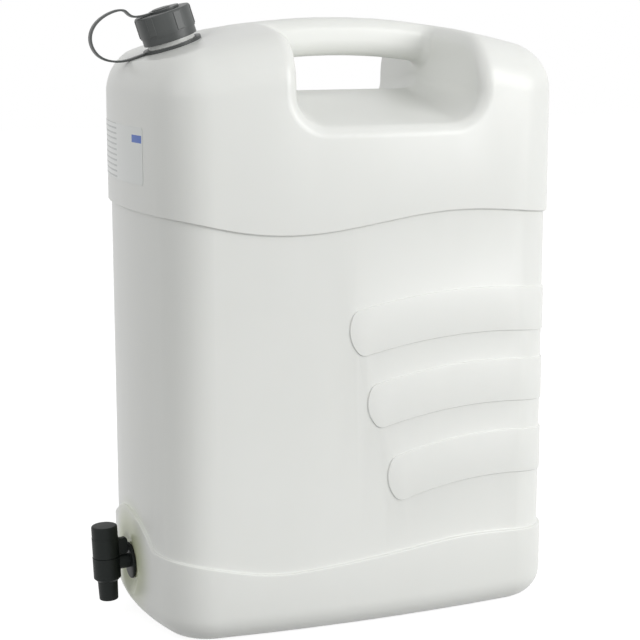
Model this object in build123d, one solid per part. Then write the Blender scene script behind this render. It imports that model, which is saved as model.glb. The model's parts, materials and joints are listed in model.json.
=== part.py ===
from build123d import *
from math import cos, radians, sin, sqrt
import os

# Blow-moulded can with a hollow grip, a screw cap on a strap, and a drain tap.
# Millimetres. +Z up, +X along the can, the cap and the tap at the -X end, origin on the floor.

# Plan outline of the can: bowed ends, bowed sides, corner arcs
length = 390.0
width = 237.0
end_bow_radius = 320.0
side_bow_radius = 1440.0
corner_radius = 48.0
wall = 2.2

# Top and base
top_height = 537.6
arch_radius = 606.0
arch_centre_x = 3.0
top_edge_radius = 44.0
base_edge_radius = 26.0

# Waist: the belt between the shoulder and the base lies deeper
waist_depth = 3.0
step_ease = 1.4
arch_foot_ease = 12.0
shoulder_line = [(-210, 374.5), (-168, 371), (-127, 362), (-66, 357), (-1, 364), (66, 372), (137, 369), (210, 360)]
base_line = [(-210, 75), (-160, 72.4), (-101, 60.8), (-44, 61.7), (33, 69.3), (85, 74.3), (126, 73.6), (210, 67)]

# Finger panels, raised from the waist on both long sides and round the +X end
finger_rise = 1.3
finger_ease = 0.6
finger_corner = 9.0
finger_ends = [(-25.0, 271.0), (-8.0, 205.0), (11.6, 137.5)]
finger_heights = [40.5, 39.5, 41.0]
finger_bow = 10.5
finger_bow_x = 100.0
finger_slant = 7.0

# Grip: a slot under the bar that widens into a scoop on each side
grip_x = 14.5
slot_half_length = 75.5
slot_floor = 472.7
slot_corner = 14.0
scoop_flare = 11.5
scoop_drop = 29.0
scoop_corner = 29.0
scoop_rim = 12.0
bar_width = 38.0
bar_height = 34.0
bar_edge = 14.0
bar_root = 9.0

# Neck and its flat seat, both leaning towards -X
neck_x = -145.1
neck_z = 513.3
neck_tilt = 18.0
neck_radius = 21.0
neck_wall = 2.2
neck_height = 27.5

# Screw cap
cap_radius = 24.75
cap_height = 25.0
cap_lift_off = 6.4
cap_wall = 1.95
cap_skirt_step = 0.9
cap_skirt_height = 6.5
cap_top_thickness = 2.5
cap_edge = 1.2
cap_rib_count = 6
cap_rib_width = 7.0
cap_rib_rise = 0.4
cap_rib_turn = -76.7
gasket_gap = 0.05
gasket_width = 5.0

# Strap: a collar round the neck, a band, and an eye under the button
collar_radius = 26.2
collar_gap = 0.3
collar_thickness = 2.6
band_width = 6.5
band_thickness = 1.8
band_bend = [(-50.4, 2.7), (-65.5, 12.5), (-68.4, 27.0), (-57.5, 40.5), (-32.0, 42.3)]
eye_radius = 13.5
eye_shift = 2.5
eye_thickness = 1.9
rest_gap = 0.02
eye_gap = 0.25
button_radius = 3.0
button_head_radius = 8.0
button_head_height = 1.0
button_depth = 5.0
button_gap = 0.06
socket_wall = 2.2

# Tap: barrel axis, inlet height, and the lean of the whole tap
tap_x = -215.3
tap_z = 50.0
tap_tilt = 2.5
tap_arch_radius = 80.0
tap_arch_z = 21.0
dish_radius = 20.0
dish_flare = 9.0
dish_rim = 5.0
seat_reach = 23.7
seat_gasket = 1.1
flange_radius = 16.5
flange_thickness = 1.9
flange_edge = 0.6
inlet_radius = 6.5
inlet_bore = 4.2
spigot_radius = 10.2
spigot_gap = 0.15
spigot_length = 13.0
spigot_wall = 3.0
socket_reach = 12.0
barrel_radius = 12.35
barrel_top = 7.0
barrel_bottom = 15.0
barrel_chamfer = 2.5
spout_radius = 9.1
spout_tip_radius = 8.55
spout_reach = 33.1
spout_bore = 6.4
spout_edge = 0.8

# Plug of the tap: stem, lever and knob
stem_radius = 8.52
stem_gap = 0.08
stem_depth = 11.5
stem_bore = 4.9
seam_gap = 0.4
hub_radius = 12.0
hub_top = 25.4
knob_radius = 11.75
knob_top = 36.4
knob_dome = 1.6
lever_reach = 20.1
lever_thickness = 5.0
lever_top = 24.0
lever_dip = 1.6
lever_corner = 3.0
ring_section = 0.8
ring_gap = 0.03
ring_levels = (5.3, -7.0)

# Label on the shoulder of the -X end
label_from_y = -56.0
label_to_y = 84.0
label_bottom = 398.0
label_height = 49.0
label_thickness = 0.25
label_gap = 0.02
label_corner = 3.0

# Derived places
half_length = length / 2
half_width = width / 2
arch_axis_z = top_height - arch_radius
neck_frame = Plane(
    origin=(neck_x, 0, neck_z),
    x_dir=(cos(radians(neck_tilt)), 0, sin(radians(neck_tilt))),
    z_dir=(-sin(radians(neck_tilt)), 0, cos(radians(neck_tilt))),
)
tap_frame = Plane(
    origin=(tap_x, 0, tap_z),
    x_dir=(cos(radians(tap_tilt)), 0, sin(radians(tap_tilt))),
    z_dir=(-sin(radians(tap_tilt)), 0, cos(radians(tap_tilt))),
)
neck_bore = neck_radius - neck_wall
cap_top = cap_lift_off + cap_height
cap_ceiling = cap_top - cap_top_thickness
cap_bore = cap_radius - cap_wall
bar_bottom = top_height - bar_height
hole_radius = spigot_radius + spigot_gap
barrel_bore = stem_radius + stem_gap


def cylinder(radius, low, high, at=(0, 0)):
    """Upright cylinder between two levels."""
    return Pos(at[0], at[1], (low + high) / 2) * Cylinder(radius, high - low)


def tube(outer, inner, low, high):
    """Upright ring between two levels."""
    return cylinder(outer, low, high) - cylinder(inner, low - 1, high + 1)


def lathe(points):
    """Solid turned about Z from (radius, level) points."""
    return revolve(Plane.XZ * make_face(Polyline(*points, close=True)), Axis.Z)


def arc_centres():
    """Centres of the end bow, the side bow and the corner arc that touches both."""
    end = Vector(half_length - end_bow_radius, 0)
    side = Vector(0, half_width - side_bow_radius)
    r_end = end_bow_radius - corner_radius
    r_side = side_bow_radius - corner_radius
    gap = (side - end).length
    along = (r_end**2 - r_side**2 + gap**2) / (2 * gap)
    across = sqrt(r_end**2 - along**2)
    unit = (side - end).normalized()
    corner = end + unit * along + Vector(-unit.Y, unit.X) * across
    if corner.X < 0 or corner.Y < 0:
        corner = end + unit * along - Vector(-unit.Y, unit.X) * across
    return end, side, corner


def plan(inset):
    """Plan outline, moved inwards by inset."""
    end, side, corner = arc_centres()
    to_end = (corner - end).normalized()
    to_side = (corner - side).normalized()
    at_end = end + to_end * (end_bow_radius - inset)
    at_side = side + to_side * (side_bow_radius - inset)
    at_corner = corner + (to_end + to_side).normalized() * (corner_radius - inset)
    quarter = [
        (half_length - inset, 0), (at_end.X, at_end.Y), (at_corner.X, at_corner.Y),
        (at_side.X, at_side.Y), (0, half_width - inset),
    ]
    edges = []
    for sx, sy in ((1, 1), (-1, 1), (-1, -1), (1, -1)):
        corner_points = [(sx * x, sy * y) for x, y in quarter[1:4]]
        edges.append(ThreePointArc(*corner_points))
    e, s = quarter[1], quarter[3]
    for sign in (1, -1):
        edges.append(ThreePointArc((sign * e[0], e[1]), (sign * quarter[0][0], 0), (sign * e[0], -e[1])))
        edges.append(ThreePointArc((s[0], sign * s[1]), (0, sign * quarter[4][1]), (-s[0], sign * s[1])))
    return make_face(Wire(edges))


def prism(inset, low, high):
    """Upright block with the plan outline."""
    return extrude(Plane.XY.offset(low) * plan(inset), high - low)


def about_arch(face):
    """Turns a face that stands over the arch's crest once round the arch's axis, with the seam far below."""
    axis = Axis((arch_centre_x, 0, arch_axis_z), (0, 1, 0))
    return revolve(face.rotate(axis, 180), axis)


def crest_plane():
    """Upright plane across the can at the crest, local x along Y and local y up."""
    return Plane(origin=(arch_centre_x, 0, 0), x_dir=(0, 1, 0), z_dir=(1, 0, 0))


def under_roof(inset):
    """Everything below the domed top, as a ball whose poles and seam lie away from the can."""
    ball = Rot(0, 90, 0) * Rot(90, 0, 0) * Sphere(arch_radius - inset)
    return Pos(arch_centre_x, 0, arch_axis_z) * ball


def across(face, reach=width):
    """Extrudes a face drawn in the XZ plane to both sides of y = 0."""
    return extrude(Plane.XZ * face, reach, both=True)


def belt(low_shift, high_shift):
    """Block between the base line and the shoulder line, each moved by its shift."""
    low = [(x, z + low_shift) for x, z in base_line]
    high = [(x, z + high_shift) for x, z in shoulder_line]
    edges = [
        Spline(*low), Line(low[-1], high[-1]), Spline(*high), Line(low[0], high[0]),
    ]
    return across(make_face(Wire(edges)))


def ease(solid, edges, radius):
    """Rounds edges with the largest radius that works, down to a third of the one asked for."""
    for share in (1.0, 0.85, 0.66, 0.5, 0.33):
        try:
            eased = fillet(edges, radius * share)
        except Exception:
            continue
        if eased.is_valid and abs(eased.volume) > 0:
            if share < 1:
                print("rounded with", radius * share, "instead of", radius)
            return eased
    print("not rounded", radius)
    return solid


def sharp_edges(solid, wanted):
    """Edges that pass the test and whose two faces meet at an angle."""
    faces_of = {}
    for face in solid.faces():
        for edge in face.edges():
            faces_of.setdefault(hash(edge), (edge, []))[1].append(face)
    found = []
    for edge, faces in faces_of.values():
        if len(faces) != 2 or not wanted(edge):
            continue
        middle = edge.position_at(0.5)
        if faces[0].normal_at(middle).dot(faces[1].normal_at(middle)) < 0.99:
            found.append(edge)
    return found


def shell_block(inset):
    """The can's main block with its top and base rounded."""
    block = prism(inset, inset, top_height + 40) & under_roof(inset)
    top_loop = block.faces().sort_by(Axis.Z)[-1].edges()
    block = fillet(top_loop, top_edge_radius - inset)
    base_loop = block.faces().sort_by(Axis.Z)[0].edges()
    return fillet(base_loop, base_edge_radius - inset)


def finger_face(number):
    """Outline of one finger panel, open past the +X end."""
    x, z = finger_ends[number]
    half = finger_heights[number] / 2
    far = half_length + 12
    top = ThreePointArc((x + 5, z + half - 3), (finger_bow_x, z + half + finger_bow), (far, z + half - 2))
    low = ThreePointArc((x + finger_slant + 5, z - half - 3), (finger_bow_x, z - half + finger_bow),
                        (far, z - half - 1))
    left = ThreePointArc(top @ 0, (x, z), low @ 0)
    face = make_face(Wire([top, low, left, Line(top @ 1, low @ 1)]))
    return fillet(face.vertices().sort_by(Axis.X)[:2], finger_corner)


def waist_cut(inset):
    """What the waist takes away from the block; the arch over the tap stays."""
    ring = prism(-5, 0, top_height) - prism(inset + waist_depth, -1, top_height + 1)
    cut = ring & belt(-inset, inset)
    arch = Plane.YZ * Pos(0, tap_arch_z) * Circle(tap_arch_radius - inset)
    cut -= extrude(Pos(-half_length - 20, 0, 0) * arch, 60)
    panel = prism(inset + waist_depth - finger_rise, 0, top_height)
    for number in range(len(finger_ends)):
        cut -= panel & across(finger_face(number))
    return cut


def scoop_section(half, floor, corner):
    """U outline of the grip's cut, open at the top."""
    face = Pos(grip_x, 0) * make_face(Polyline(
        (-half, top_height + 60), (-half, floor), (half, floor), (half, top_height + 60), close=True))
    return fillet(face.vertices().sort_by(Axis.Y)[:2], corner)


def scoop_cut(inset):
    """Slot and scoops, with the bar left standing."""
    middle = scoop_section(slot_half_length + inset, slot_floor - inset, slot_corner + inset)
    reach = half_width + 12
    outer = scoop_section(
        slot_half_length + scoop_flare + inset, slot_floor - scoop_drop - inset, scoop_corner + inset)
    cut = None
    for y in (-reach, reach):
        side = loft([Plane.XZ.offset(0) * middle, Plane.XZ.offset(-y) * outer], ruled=True)
        cut = side if cut is None else cut + side
    half = bar_width / 2 - inset
    section = make_face(Polyline(
        (-half, bar_bottom + inset), (half, bar_bottom + inset), (half, top_height + 90),
        (-half, top_height + 90), close=True))
    section = fillet(section.vertices().sort_by(Axis.Y)[:2], bar_edge - inset)
    bar = about_arch(crest_plane() * section)
    return cut - bar


def form(inset):
    """The can without neck and tap seat: its outside, or its inside at a depth of inset."""
    solid = shell_block(inset) - waist_cut(inset)
    if inset == 0:
        solid = eased_waist(solid)
    solid = seat_trim(solid, inset) - scoop_cut(inset)
    half = slot_half_length - 20

    def at_bar_end(edge):
        box = edge.bounding_box()
        inside = max(abs(box.min.Y), abs(box.max.Y)) < bar_width / 2 + 0.5
        return inside and abs(edge.center().X - grip_x) > half and box.min.Z > bar_bottom - 1

    def on_rim(edge):
        box = edge.bounding_box()
        far_out = max(abs(box.min.Y), abs(box.max.Y)) > bar_width / 4
        reach = slot_half_length + scoop_flare + 15
        near = box.min.X > grip_x - reach and box.max.X < grip_x + reach
        return far_out and near and box.min.Z > slot_floor - scoop_drop - 15

    solid = ease(solid, sharp_edges(solid, at_bar_end), bar_root + inset)
    return ease(solid, sharp_edges(solid, on_rim), scoop_rim - inset)


def eased_waist(solid):
    """Rounds the steps of the waist and then the edges of the finger panels."""

    def on_step(edge):
        box = edge.bounding_box()
        return box.min.Z > base_edge_radius + 20 and box.max.Z < top_height - 100

    def off_fingers(edge):
        z = edge.center().Z
        return on_step(edge) and (z > 335 or z < 103)

    def at_arch_foot(edge):
        box = edge.bounding_box()
        return on_step(edge) and edge.length < 1.5 * waist_depth and box.max.X < -half_length + 15

    solid = ease(solid, sharp_edges(solid, at_arch_foot), arch_foot_ease)
    solid = ease(solid, sharp_edges(solid, off_fingers), step_ease)
    return ease(solid, sharp_edges(solid, lambda e: on_step(e) and 103 < e.center().Z < 335), finger_ease)


def seat_trim(solid, inset):
    """Cuts the top off along the flat seat of the neck."""
    size = 2 * length
    block = neck_frame * Pos(0, 0, -inset) * Pos(0, 0, size / 2) * Box(size, size, size)
    keep = Pos(half_length, 0, top_height / 2) * Box(length + 90, 2 * width, 2 * top_height)
    return solid - (block - keep)


def along_inlet(solid):
    """Turns an upright solid so that its axis is the tap's inlet axis, pointing into the can."""
    return Rot(0, 90, 0) * solid


def dish(extra):
    """What the dish round the tap's seat takes away, grown by extra."""
    depth = seat_reach + extra
    rise = dish_flare * (depth / 3.4)
    cone = lathe([(0, depth), (dish_radius + extra, depth), (dish_radius + extra + rise, 0), (0, 0)])
    return tap_frame.location * along_inlet(cone)


def make_canister():
    """The blown can with its neck, its hollow grip and its threaded seat for the tap."""
    solid = form(0) - dish(0)
    solid = ease(solid, sharp_edges(solid, at_dish), dish_rim)
    inside = form(wall) - dish(wall)
    collar = cylinder(hole_radius + spigot_wall, seat_reach - 5, seat_reach + socket_reach)
    inside -= tap_frame.location * along_inlet(collar)
    neck = cylinder(neck_radius, -wall / 2, neck_height)
    neck = chamfer(neck.edges().sort_by(Axis.Z)[-1], 0.5)
    solid += neck_frame.location * neck
    solid -= inside
    solid -= neck_frame.location * cylinder(neck_bore, -2 * wall - 2, neck_height + 1)
    hole = cylinder(hole_radius, seat_reach - 5, seat_reach + socket_reach + 5)
    return solid - tap_frame.location * along_inlet(hole), inside


def at_dish(edge):
    """Rim of the dish."""
    middle = edge.center()
    return middle.X < -half_length + 12 and middle.Z < 110 and abs(middle.Y) < 60


def make_label():
    """Thin label round the -X end."""
    band = prism(-label_gap - label_thickness, label_bottom - 5, label_bottom + label_height + 5)
    band -= prism(-label_gap, label_bottom - 6, label_bottom + label_height + 6)
    middle = (label_from_y + label_to_y) / 2
    face = Plane.YZ * Pos(middle, label_bottom + label_height / 2) * RectangleRounded(
        label_to_y - label_from_y, label_height, label_corner)
    return band & extrude(Pos(-half_length - 5, 0, 0) * face, 60)


def make_cap():
    """Screw cap with a stepped skirt, low ribs and a blind socket for the button."""
    step_level = cap_lift_off + cap_skirt_height
    solid = cylinder(cap_radius, step_level, cap_top)
    solid = fillet(solid.edges().sort_by(Axis.Z)[-1], cap_edge)
    rib = Pos(cap_radius - 2 + cap_rib_rise, 0) * Box(4, cap_rib_width, cap_top - step_level - 2 * cap_edge)
    rib = chamfer(rib.faces().sort_by(Axis.X)[-1].edges(), cap_rib_rise)
    rib = Pos(0, 0, (cap_top + step_level) / 2) * rib
    for number in range(cap_rib_count):
        solid += Rot(0, 0, cap_rib_turn + number * 360 / cap_rib_count) * rib
    solid += cylinder(cap_radius - cap_skirt_step, cap_lift_off, step_level)
    solid -= cylinder(cap_bore, cap_lift_off - 1, cap_ceiling)
    socket = button_depth + rest_gap + 0.2
    solid += cylinder(button_radius + socket_wall, cap_top - socket - 1.2, cap_ceiling)
    solid -= cylinder(button_radius + button_gap, cap_top - socket, cap_top + 1)
    return neck_frame.location * solid


def make_cap_gasket():
    """Flat ring between the lip of the neck and the cap."""
    outer = cap_bore - 0.3
    return neck_frame.location * tube(outer, outer - gasket_width, neck_height + gasket_gap, cap_ceiling)


def make_strap():
    """Collar, band and eye, moulded in one piece."""
    collar = tube(collar_radius, neck_radius + collar_gap, rest_gap, collar_thickness)
    eye_low = cap_top + rest_gap
    eye = cylinder(eye_radius, eye_low, eye_low + eye_thickness, (eye_shift, 0))
    eye_level = eye_low + eye_thickness / 2
    points = [(neck_radius + collar_gap + 2, collar_thickness / 2)]
    points = [(-points[0][0], points[0][1])] + band_bend + [(eye_shift - eye_radius + 2, eye_level)]
    middle = Spline(*points, tangents=[(-1, 0), (1, 0)])
    stroke = Plane.XZ * trace(middle, band_thickness)
    band = extrude(stroke, band_width / 2, both=True)
    solid = collar + band + eye
    solid -= cylinder(button_radius + eye_gap, eye_low - 1, eye_low + eye_thickness + 1)
    return neck_frame.location * solid


def make_button():
    """Snap button that holds the eye on the cap."""
    low = cap_top + eye_thickness + 2 * rest_gap
    head = cylinder(button_head_radius, low, low + button_head_height)
    head = fillet(head.edges().sort_by(Axis.Z)[-1], button_head_height * 0.6)
    return neck_frame.location * (head + cylinder(button_radius, cap_top - button_depth, low + 0.2))


def make_tap_body():
    """Barrel, spout, inlet and flange with the spigot that goes into the can."""
    barrel = cylinder(barrel_radius, -barrel_bottom, barrel_top)
    barrel = chamfer(barrel.edges().sort_by(Axis.Z)[0], barrel_chamfer)
    spout = lathe([(0, -barrel_bottom + 3), (spout_radius, -barrel_bottom + 3), (spout_radius, -barrel_bottom),
                   (spout_tip_radius, -spout_reach), (0, -spout_reach)])
    spout = fillet(spout.edges().sort_by(Axis.Z)[0], spout_edge)
    flange_back = seat_reach - seat_gasket
    flange = cylinder(flange_radius, flange_back - flange_thickness, flange_back)
    flange = fillet(flange.edges().sort_by(Axis.Z)[0], flange_edge)
    inlet = cylinder(inlet_radius, barrel_bore + 1, flange_back) + flange
    inlet += cylinder(spigot_radius, flange_back - 0.5, seat_reach + spigot_length)
    solid = barrel + spout + along_inlet(inlet)
    solid -= cylinder(barrel_bore, -stem_depth - 2 * rest_gap, barrel_top + 1)
    solid -= cylinder(spout_bore, -spout_reach - 1, -stem_depth + 1)
    solid -= along_inlet(cylinder(inlet_bore, 1, seat_reach + spigot_length + 1))
    wide = cylinder(spigot_radius - 2.4, seat_reach + 1, seat_reach + spigot_length + 1)
    return tap_frame.location * (solid - along_inlet(wide))


def ring_torus(level):
    """One O-ring of the stem."""
    centre = barrel_bore - ring_gap - ring_section
    return tap_frame.location * Pos(0, 0, level) * Torus(centre, ring_section)


def make_plug():
    """Turning stem with its cross port, lever and knob."""
    low = barrel_top + seam_gap
    stem = cylinder(stem_radius, -stem_depth, low + 1)
    groove_floor = barrel_bore - ring_gap - 2 * ring_section - rest_gap
    for level in ring_levels:
        half = ring_section + rest_gap
        stem -= tube(stem_radius + 1, groove_floor, level - half, level + half)
    hub = cylinder(hub_radius, low, hub_top)
    knob = cylinder(knob_radius, hub_top - 1, knob_top)
    knob = fillet(knob.edges().sort_by(Axis.Z)[-1], knob_dome)
    top = ThreePointArc((hub_radius - 2, lever_top), ((hub_radius + lever_reach) / 2, lever_top - lever_dip),
                        (lever_reach, lever_top - 0.4))
    outline = Polyline(top @ 1, (lever_reach, low), (hub_radius - 2, low), top @ 0)
    flag = make_face(Wire([top, *outline.edges()]))
    flag = fillet(flag.vertices().sort_by(Axis.X)[-2:], lever_corner)
    lever = extrude(Plane.XZ * flag, lever_thickness / 2, both=True)
    solid = stem + hub + knob + lever
    solid -= cylinder(stem_bore, -stem_depth - 1, inlet_bore)
    port = Rot(90, 0, 0) * Cylinder(inlet_bore - 0.6, 4 * stem_radius)
    return tap_frame.location * (solid - port)


def make_tap_gasket():
    """Flat ring between the flange and the can."""
    ring = tube(flange_radius - 1.5, hole_radius, seat_reach - seat_gasket, seat_reach)
    return tap_frame.location * along_inlet(ring)


if __name__ == "__main__":
    os.makedirs("parts", exist_ok=True)
    canister, inside = make_canister()
    print("litres to the neck", round(inside.volume / 1e6, 2))
    pieces = {
        "canister": canister,
        "label": make_label(),
        "screw_cap": make_cap(),
        "cap_gasket": make_cap_gasket(),
        "cap_strap": make_strap(),
        "strap_button": make_button(),
        "tap_body": make_tap_body(),
        "tap_plug": make_plug(),
        "tap_o_ring_upper": ring_torus(ring_levels[0]),
        "tap_o_ring_lower": ring_torus(ring_levels[1]),
        "tap_gasket": make_tap_gasket(),
    }
    for name, piece in pieces.items():
        print(name, piece.is_valid, len(piece.solids()), round(piece.volume))
        export_step(piece, f"parts/{name}.step")
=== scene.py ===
import json
from math import cos, pi, radians, sin

import bmesh
import bpy
from mathutils import Matrix, Vector
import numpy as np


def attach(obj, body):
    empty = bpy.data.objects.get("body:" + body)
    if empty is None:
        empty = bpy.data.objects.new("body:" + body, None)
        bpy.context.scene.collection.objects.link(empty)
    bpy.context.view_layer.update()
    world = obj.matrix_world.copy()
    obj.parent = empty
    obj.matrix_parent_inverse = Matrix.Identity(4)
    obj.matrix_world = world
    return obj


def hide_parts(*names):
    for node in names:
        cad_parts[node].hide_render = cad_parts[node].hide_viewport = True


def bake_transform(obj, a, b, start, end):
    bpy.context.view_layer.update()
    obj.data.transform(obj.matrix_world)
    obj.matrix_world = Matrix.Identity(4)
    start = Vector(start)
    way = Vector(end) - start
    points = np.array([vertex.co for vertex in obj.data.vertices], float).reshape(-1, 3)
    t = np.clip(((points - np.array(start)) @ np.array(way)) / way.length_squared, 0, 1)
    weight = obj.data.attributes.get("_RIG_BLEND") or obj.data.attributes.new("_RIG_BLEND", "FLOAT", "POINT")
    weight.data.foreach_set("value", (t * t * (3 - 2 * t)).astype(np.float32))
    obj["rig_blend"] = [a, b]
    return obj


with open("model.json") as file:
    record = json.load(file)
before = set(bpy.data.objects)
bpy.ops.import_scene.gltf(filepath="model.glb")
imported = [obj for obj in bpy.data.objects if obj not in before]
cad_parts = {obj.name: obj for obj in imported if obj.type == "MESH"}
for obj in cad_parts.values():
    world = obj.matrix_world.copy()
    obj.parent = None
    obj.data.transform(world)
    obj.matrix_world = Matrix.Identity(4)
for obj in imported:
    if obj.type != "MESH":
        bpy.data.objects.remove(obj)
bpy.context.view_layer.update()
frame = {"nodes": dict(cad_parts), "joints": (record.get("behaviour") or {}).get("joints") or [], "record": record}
nodes = frame["nodes"]
print("frame loaded", len(nodes), "nodes")

# Where the neck and the tap stand, read from the record's joints
jointOf = {joint["name"]: joint for joint in frame["joints"]}
neckSeat = Vector(jointOf["cap_turn"]["pos_m"])
neckAxis = Vector(jointOf["cap_turn"]["axis"]).normalized()
tapCentre = Vector(jointOf["tap_turn"]["pos_m"])

# Vertices nearer than this are one vertex, in metres
mergeDistance = 1e-6


def neckMatrix():
    # Local z runs up the neck and local x towards the grip
    along = Vector((neckAxis.z, 0, -neckAxis.x))
    across = neckAxis.cross(along)
    turn = Matrix((along, across, neckAxis)).transposed().to_4x4()
    return Matrix.Translation(neckSeat) @ turn


# Materials
def newMaterial(name):
    material = bpy.data.materials.new(name)
    material.use_nodes = True
    tree = material.node_tree
    return material, tree, tree.nodes["Principled BSDF"]


def objectCoords(tree):
    return tree.nodes.new("ShaderNodeTexCoord").outputs["Object"]


def addNoise(tree, coords, scale, detail=3.0, rough=0.5):
    noise = tree.nodes.new("ShaderNodeTexNoise")
    noise.inputs["Scale"].default_value = scale
    noise.inputs["Detail"].default_value = detail
    noise.inputs["Roughness"].default_value = rough
    tree.links.new(coords, noise.inputs["Vector"])
    return noise.outputs["Fac"]


def addBump(tree, height, strength, distance, normalInput):
    bump = tree.nodes.new("ShaderNodeBump")
    bump.inputs["Strength"].default_value = strength
    bump.inputs["Distance"].default_value = distance
    tree.links.new(height, bump.inputs["Height"])
    tree.links.new(bump.outputs["Normal"], normalInput)


def mixColours(tree, factor, first, second):
    mix = tree.nodes.new("ShaderNodeMix")
    mix.data_type = "RGBA"
    for socket, value in ((mix.inputs[6], first), (mix.inputs[7], second)):
        if hasattr(value, "default_value"):
            tree.links.new(value, socket)
        else:
            socket.default_value = (*value, 1)
    tree.links.new(factor, mix.inputs["Factor"])
    return mix.outputs[2]


def mapRange(tree, value, low, high, toLow=0.0, toHigh=1.0):
    node = tree.nodes.new("ShaderNodeMapRange")
    node.interpolation_type = "SMOOTHSTEP"
    for name, number in (("From Min", low), ("From Max", high), ("To Min", toLow), ("To Max", toHigh)):
        node.inputs[name].default_value = number
    tree.links.new(value, node.inputs["Value"])
    return node.outputs["Result"]


# The can's natural plastic: two milky tones in clouds, and a painted greenish glow and shade around where the tap
# screws in
milkyLook = {
    "milk": (0.805, 0.815, 0.785),
    "cloud": (0.765, 0.775, 0.74),
    "tapPaintedGlowShade": (0.60, 0.64, 0.42),
    "glowShadeFrom": 0.018,
    "glowShadeTo": 0.062,
    "glowShadeShift": (0.026, 0, 0.004),
    "cloudScale": 9.0,
    "roughness": 0.36,
    "refraction": 1.54,
    "grain": 0.12,
    "grainScale": 700.0,
    "subsurface": 0.12,
    "subsurfaceRadius": (1.0, 0.95, 0.85),
    "subsurfaceScale": 0.006,
}
# How deep the grain of every plastic is, in metres
grainDepth = 0.0001


def milkyPlastic():
    material, tree, shader = newMaterial("milkyPlastic")
    coords = objectCoords(tree)
    patches = addNoise(tree, coords, milkyLook["cloudScale"])
    cloud = mixColours(tree, patches, milkyLook["milk"], milkyLook["cloud"])
    # Painted glow and shade: near the tap the colour turns darker and greener, standing in for light through the
    # plastic and shade at the tap's seat
    distance = tree.nodes.new("ShaderNodeVectorMath")
    distance.operation = "DISTANCE"
    distance.inputs[1].default_value = tapCentre + Vector(milkyLook["glowShadeShift"])
    tree.links.new(coords, distance.inputs[0])
    far = mapRange(tree, distance.outputs["Value"], milkyLook["glowShadeFrom"], milkyLook["glowShadeTo"])
    colour = mixColours(tree, far, milkyLook["tapPaintedGlowShade"], cloud)
    tree.links.new(colour, shader.inputs["Base Color"])
    shader.inputs["Roughness"].default_value = milkyLook["roughness"]
    shader.inputs["IOR"].default_value = milkyLook["refraction"]
    shader.inputs["Subsurface Weight"].default_value = milkyLook["subsurface"]
    shader.inputs["Subsurface Radius"].default_value = milkyLook["subsurfaceRadius"]
    shader.inputs["Subsurface Scale"].default_value = milkyLook["subsurfaceScale"]
    grain = addNoise(tree, coords, milkyLook["grainScale"])
    addBump(tree, grain, milkyLook["grain"], grainDepth, shader.inputs["Normal"])
    return material


# The small moulded pieces: a colour, its worn tone, and how matt the surface is
mouldedLook = {
    "greyPlastic": {
        "colour": (0.050, 0.055, 0.054),
        "worn": (0.068, 0.073, 0.071),
        "roughness": 0.42,
        "specular": 0.5,
    },
    "blackPlastic": {
        "colour": (0.007, 0.010, 0.009),
        "worn": (0.011, 0.014, 0.013),
        "roughness": 0.48,
        "specular": 0.22,
    },
    "sealRubber": {
        "colour": (0.012, 0.012, 0.012),
        "worn": (0.02, 0.02, 0.02),
        "roughness": 0.75,
        "specular": 0.5,
    },
}
mouldedGrain = {"patchScale": 60.0, "grainScale": 1600.0, "grain": 0.2}


def mouldedPlastic(name):
    look = mouldedLook[name]
    material, tree, shader = newMaterial(name)
    coords = objectCoords(tree)
    patches = addNoise(tree, coords, mouldedGrain["patchScale"])
    colour = mixColours(tree, patches, look["colour"], look["worn"])
    tree.links.new(colour, shader.inputs["Base Color"])
    shader.inputs["Roughness"].default_value = look["roughness"]
    shader.inputs["Specular IOR Level"].default_value = look["specular"]
    grain = addNoise(tree, coords, mouldedGrain["grainScale"])
    addBump(tree, grain, mouldedGrain["grain"], grainDepth, shader.inputs["Normal"])
    return material


# The label: a bare film with faint rules and one plain field, placed by Y and Z in metres
labelLook = {
    "film": (0.74, 0.76, 0.74),
    "print": (0.44, 0.46, 0.45),
    "field": (0.03, 0.12, 0.50),
    "linePitch": 0.0047,
    "lineShare": 0.34,
    "linesFromY": 0.008,
    "linesToY": 0.074,
    "fieldY": (-0.0545, -0.0345),
    "fieldZ": (0.4335, 0.4400),
    "roughness": 0.3,
}


def between(tree, value, low, high):
    # Gives 1 where value lies between low and high, and 0 elsewhere
    above = tree.nodes.new("ShaderNodeMath")
    above.operation = "GREATER_THAN"
    above.inputs[1].default_value = low
    below = tree.nodes.new("ShaderNodeMath")
    below.operation = "LESS_THAN"
    below.inputs[1].default_value = high
    both = tree.nodes.new("ShaderNodeMath")
    both.operation = "MULTIPLY"
    tree.links.new(value, above.inputs[0])
    tree.links.new(value, below.inputs[0])
    tree.links.new(above.outputs[0], both.inputs[0])
    tree.links.new(below.outputs[0], both.inputs[1])
    return both.outputs[0]


def times(tree, first, second):
    product = tree.nodes.new("ShaderNodeMath")
    product.operation = "MULTIPLY"
    for socket, value in zip(product.inputs, (first, second)):
        if isinstance(value, float):
            socket.default_value = value
        else:
            tree.links.new(value, socket)
    return product.outputs[0]


def labelFilm():
    material, tree, shader = newMaterial("labelFilm")
    coords = objectCoords(tree)
    axes = tree.nodes.new("ShaderNodeSeparateXYZ")
    tree.links.new(coords, axes.inputs[0])
    rows = tree.nodes.new("ShaderNodeMath")
    rows.operation = "FRACT"
    tree.links.new(times(tree, axes.outputs["Z"], 1 / labelLook["linePitch"]), rows.inputs[0])
    line = between(tree, rows.outputs[0], 0.0, labelLook["lineShare"])
    inside = between(tree, axes.outputs["Y"], labelLook["linesFromY"], labelLook["linesToY"])
    bars = mixColours(tree, times(tree, line, inside), labelLook["film"], labelLook["print"])
    fieldArea = times(tree, between(tree, axes.outputs["Y"], *labelLook["fieldY"]),
                      between(tree, axes.outputs["Z"], *labelLook["fieldZ"]))
    tree.links.new(mixColours(tree, fieldArea, bars, labelLook["field"]), shader.inputs["Base Color"])
    shader.inputs["Roughness"].default_value = labelLook["roughness"]
    return material


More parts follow.
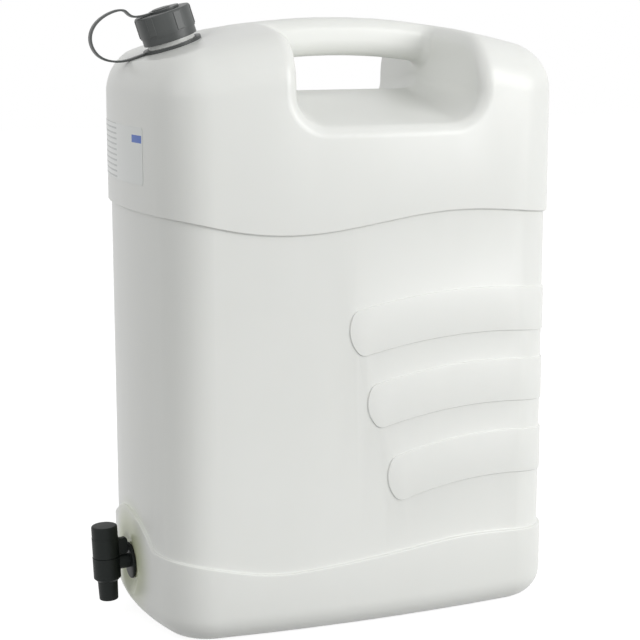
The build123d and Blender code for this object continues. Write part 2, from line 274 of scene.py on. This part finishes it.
materialOf = {
    "milky_plastic": milkyPlastic(),
    "label_film": labelFilm(),
    "grey_plastic": mouldedPlastic("greyPlastic"),
    "black_plastic": mouldedPlastic("blackPlastic"),
    "seal_rubber": mouldedPlastic("sealRubber"),
}
print("materials made", len(materialOf))


# Pieces taken over from the frame, with merged and smoothed skins
def addObject(name, mesh):
    piece = bpy.data.objects.new(name, mesh)
    bpy.context.scene.collection.objects.link(piece)
    return piece


def smoothCopy(nodeName, pieceName, sharpAngle):
    mesh = nodes[nodeName].data.copy()
    mesh.name = pieceName
    skin = bmesh.new()
    skin.from_mesh(mesh)
    bmesh.ops.remove_doubles(skin, verts=skin.verts, dist=mergeDistance)
    for edge in skin.edges:
        edge.smooth = len(edge.link_faces) == 2 and edge.calc_face_angle(0) < radians(sharpAngle)
    for face in skin.faces:
        face.smooth = True
    skin.to_mesh(mesh)
    skin.free()
    for layer in list(mesh.attributes):
        if layer.name == "custom_normal":
            mesh.attributes.remove(layer)
    return addObject(pieceName, mesh)


bodyOf = {node: body for body, members in frame["record"]["behaviour"]["bodies"].items() for node in members}
slotOf = {part["node"]: part["material_slot"] for part in frame["record"]["subparts"]}
# Name of the piece that stands for each node, and the angle in degrees where its edges stay sharp
pieceSettings = {
    "canister": {"piece": "canShell", "sharpAngle": 24},
    "label": {"piece": "endLabel", "sharpAngle": 30},
    "screw_cap": {"piece": "screwCapShell", "sharpAngle": 28},
    "cap_gasket": {"piece": "lipGasket", "sharpAngle": 30},
    "cap_strap": {"piece": "strapLoop", "sharpAngle": 35},
    "strap_button": {"piece": "strapButton", "sharpAngle": 35},
    "tap_body": {"piece": "tapBarrel", "sharpAngle": 28},
    "tap_plug": {"piece": "tapKnob", "sharpAngle": 28},
    "tap_o_ring_upper": {"piece": "stemRingUpper", "sharpAngle": 40},
    "tap_o_ring_lower": {"piece": "stemRingLower", "sharpAngle": 40},
    "tap_gasket": {"piece": "flangeGasket", "sharpAngle": 30},
}


def addSkins():
    pieces = {}
    for node, settings in pieceSettings.items():
        piece = smoothCopy(node, settings["piece"], settings["sharpAngle"])
        piece.data.materials.clear()
        piece.data.materials.append(materialOf[slotOf[node]])
        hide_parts(node)
        pieces[node] = piece
    return pieces


pieces = addSkins()
for node, piece in pieces.items():
    if node != "cap_strap":
        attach(piece, bodyOf[node])
# How far up the neck, in metres, the strap stops being held by the collar and follows the cap
strapBend = {"from": 0.003, "to": 0.031}
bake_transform(pieces["cap_strap"], "can", "cap_holder",
         neckSeat + neckAxis * strapBend["from"], neckSeat + neckAxis * strapBend["to"])
print("skins made", len(pieces))


# Threads: a spiral swept with a round ridge. Lengths in metres, foot is the height above the neck's seat
neckThread = {"turns": 2.4, "radius": 0.0209, "rise": 0.0105, "ridge": 0.00125, "foot": 0.0115}
capThread = {"turns": 1.6, "radius": 0.0231, "rise": 0.007, "ridge": 0.0007, "foot": 0.0125}
threadSteps = {"perTurn": 72, "roundRidge": 10}


def threadTree(name, material, sizes):
    tree = bpy.data.node_groups.new(name, "GeometryNodeTree")
    for label, value in sizes.items():
        socket = tree.interface.new_socket(name=label, in_out="INPUT", socket_type="NodeSocketFloat")
        socket.default_value = value
    tree.interface.new_socket(name="Geometry", in_out="OUTPUT", socket_type="NodeSocketGeometry")
    entry = tree.nodes.new("NodeGroupInput")
    spiral = tree.nodes.new("GeometryNodeCurveSpiral")
    spiral.inputs["Resolution"].default_value = threadSteps["perTurn"]
    tree.links.new(entry.outputs["turns"], spiral.inputs["Rotations"])
    tree.links.new(entry.outputs["radius"], spiral.inputs["Start Radius"])
    tree.links.new(entry.outputs["radius"], spiral.inputs["End Radius"])
    tree.links.new(entry.outputs["rise"], spiral.inputs["Height"])
    profile = tree.nodes.new("GeometryNodeCurvePrimitiveCircle")
    profile.inputs["Resolution"].default_value = threadSteps["roundRidge"]
    tree.links.new(entry.outputs["ridge"], profile.inputs["Radius"])
    sweep = tree.nodes.new("GeometryNodeCurveToMesh")
    sweep.inputs["Fill Caps"].default_value = True
    tree.links.new(spiral.outputs["Curve"], sweep.inputs["Curve"])
    tree.links.new(profile.outputs["Curve"], sweep.inputs["Profile Curve"])
    lift = tree.nodes.new("GeometryNodeTransform")
    height = tree.nodes.new("ShaderNodeCombineXYZ")
    tree.links.new(entry.outputs["foot"], height.inputs["Z"])
    tree.links.new(height.outputs[0], lift.inputs["Translation"])
    tree.links.new(sweep.outputs["Mesh"], lift.inputs["Geometry"])
    real = tree.nodes.new("GeometryNodeRealizeInstances")
    tree.links.new(lift.outputs["Geometry"], real.inputs["Geometry"])
    paint = tree.nodes.new("GeometryNodeSetMaterial")
    paint.inputs["Material"].default_value = material
    tree.links.new(real.outputs["Geometry"], paint.inputs["Geometry"])
    leave = tree.nodes.new("NodeGroupOutput")
    tree.links.new(paint.outputs["Geometry"], leave.inputs["Geometry"])
    return tree


def fromTree(name, tree, values, place):
    holder = addObject(name + "Maker", bpy.data.meshes.new(name + "Maker"))
    modifier = holder.modifiers.new("maker", "NODES")
    modifier.node_group = tree
    for item in tree.interface.items_tree:
        if item.in_out == "INPUT" and item.name in values:
            modifier[item.identifier] = values[item.name]
    bpy.context.view_layer.update()
    made = holder.evaluated_get(bpy.context.evaluated_depsgraph_get())
    mesh = bpy.data.meshes.new_from_object(made)
    bpy.data.objects.remove(holder)
    mesh.name = name
    skin = bmesh.new()
    skin.from_mesh(mesh)
    bmesh.ops.remove_doubles(skin, verts=skin.verts, dist=mergeDistance)
    bmesh.ops.recalc_face_normals(skin, faces=skin.faces)
    for face in skin.faces:
        face.smooth = True
    skin.to_mesh(mesh)
    skin.free()
    mesh.transform(place)
    return addObject(name, mesh)


def addThreads():
    tree = threadTree("neckThreadMaker", materialOf["milky_plastic"], neckThread)
    outer = fromTree("neckThread", tree, neckThread, neckMatrix())
    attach(outer, "can")
    tree = threadTree("capThreadMaker", materialOf["grey_plastic"], capThread)
    inner = fromTree("capThread", tree, capThread, neckMatrix() @ Matrix.Rotation(pi, 4, "Z"))
    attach(inner, "cap")


addThreads()
print("threads made")


# Floor, backdrop, light and camera
studio = {
    "floorHalf": 6.0,
    "floorColour": 0.36,
    "floorGlow": 0.86,
    "worldLight": 0.60,
}
# Each lamp's place, target and size in metres, and its power in watts
lamps = {
    "keyLight": {"place": (1.5, -1.9, 1.0), "target": (0, 0, 0.3), "size": (1.4, 1.4), "power": 36.0},
    "fillLight": {"place": (-1.9, -0.9, 1.2), "target": (0, 0, 0.3), "size": (1.2, 1.6), "power": 6.0},
    "stripLight": {"place": (-0.9, -1.9, 0.6), "target": (-0.15, 0, 0.3), "size": (0.12, 1.6), "power": 1.5},
}


def seenDirectly(tree):
    # Gives 1 for camera, glossy and transmission rays, and 0 for the rays that light the object
    path = tree.nodes.new("ShaderNodeLightPath")
    total = None
    for name in ("Is Camera Ray", "Is Glossy Ray", "Is Transmission Ray"):
        if total is None:
            total = path.outputs[name]
            continue
        larger = tree.nodes.new("ShaderNodeMath")
        larger.operation = "MAXIMUM"
        tree.links.new(total, larger.inputs[0])
        tree.links.new(path.outputs[name], larger.inputs[1])
        total = larger.outputs[0]
    return total


def addFloor():
    half = studio["floorHalf"]
    mesh = bpy.data.meshes.new("floorSheet")
    corners = [(-half, -half, 0), (half, -half, 0), (half, half, 0), (-half, half, 0)]
    mesh.from_pydata(corners, [], [(0, 1, 2, 3)])
    floor = addObject("floorSheet", mesh)
    material = bpy.data.materials.new("floorWhite")
    material.use_nodes = True
    tree = material.node_tree
    tree.nodes.remove(tree.nodes["Principled BSDF"])
    matt = tree.nodes.new("ShaderNodeBsdfDiffuse")
    matt.inputs["Color"].default_value = (*[studio["floorColour"]] * 3, 1)
    glow = tree.nodes.new("ShaderNodeEmission")
    tree.links.new(times(tree, seenDirectly(tree), studio["floorGlow"]), glow.inputs["Strength"])
    both = tree.nodes.new("ShaderNodeAddShader")
    tree.links.new(matt.outputs[0], both.inputs[0])
    tree.links.new(glow.outputs[0], both.inputs[1])
    tree.links.new(both.outputs[0], tree.nodes["Material Output"].inputs["Surface"])
    mesh.materials.append(material)


def addWorld():
    world = bpy.data.worlds.new("studioWorld")
    bpy.context.scene.world = world
    world.use_nodes = True
    tree = world.node_tree
    strength = mapRange(tree, seenDirectly(tree), 0.0, 1.0, studio["worldLight"], 1.0)
    tree.links.new(strength, tree.nodes["Background"].inputs["Strength"])
    tree.nodes["Background"].inputs["Color"].default_value = (1, 1, 1, 1)


def addLamp(name, place, target, size, power):
    data = bpy.data.lights.new(name, "AREA")
    data.shape = "RECTANGLE"
    data.size, data.size_y = size
    data.energy = power
    lamp = bpy.data.objects.new(name, data)
    lamp.location = place
    lamp.rotation_euler = (Vector(target) - Vector(place)).to_track_quat("-Z", "Y").to_euler()
    bpy.context.scene.collection.objects.link(lamp)


# The photograph's view: angles in degrees, metres, and focal length and centre in pixels of its frame
view = {
    "azimuth": -21.97,
    "elevation": 10.45,
    "distance": 1.5941,
    "target": (0, 0, 0.2612),
    "focalPixels": 1712.36,
    "centre": (326.77, 318.55),
    "framePixels": 640.0,
    "sensorWidth": 36.0,
}


def addCamera():
    data = bpy.data.cameras.new("photoView")
    data.sensor_width = view["sensorWidth"]
    data.lens = view["focalPixels"] / view["framePixels"] * data.sensor_width
    half = view["framePixels"] / 2
    data.shift_x = (half - view["centre"][0]) / view["framePixels"]
    data.shift_y = (view["centre"][1] - half) / view["framePixels"]
    camera = bpy.data.objects.new("photoView", data)
    azimuth, elevation = radians(view["azimuth"]), radians(view["elevation"])
    back = Vector((sin(azimuth) * cos(elevation), -cos(azimuth) * cos(elevation), sin(elevation)))
    camera.location = Vector(view["target"]) + back * view["distance"]
    camera.rotation_euler = (pi / 2 - elevation, 0, azimuth)
    bpy.context.scene.collection.objects.link(camera)
    bpy.context.scene.camera = camera


addFloor()
addWorld()
for name, lamp in lamps.items():
    addLamp(name, lamp["place"], lamp["target"], lamp["size"], lamp["power"])
addCamera()
bpy.context.scene.view_settings.view_transform = "Standard"
print("studio set up")
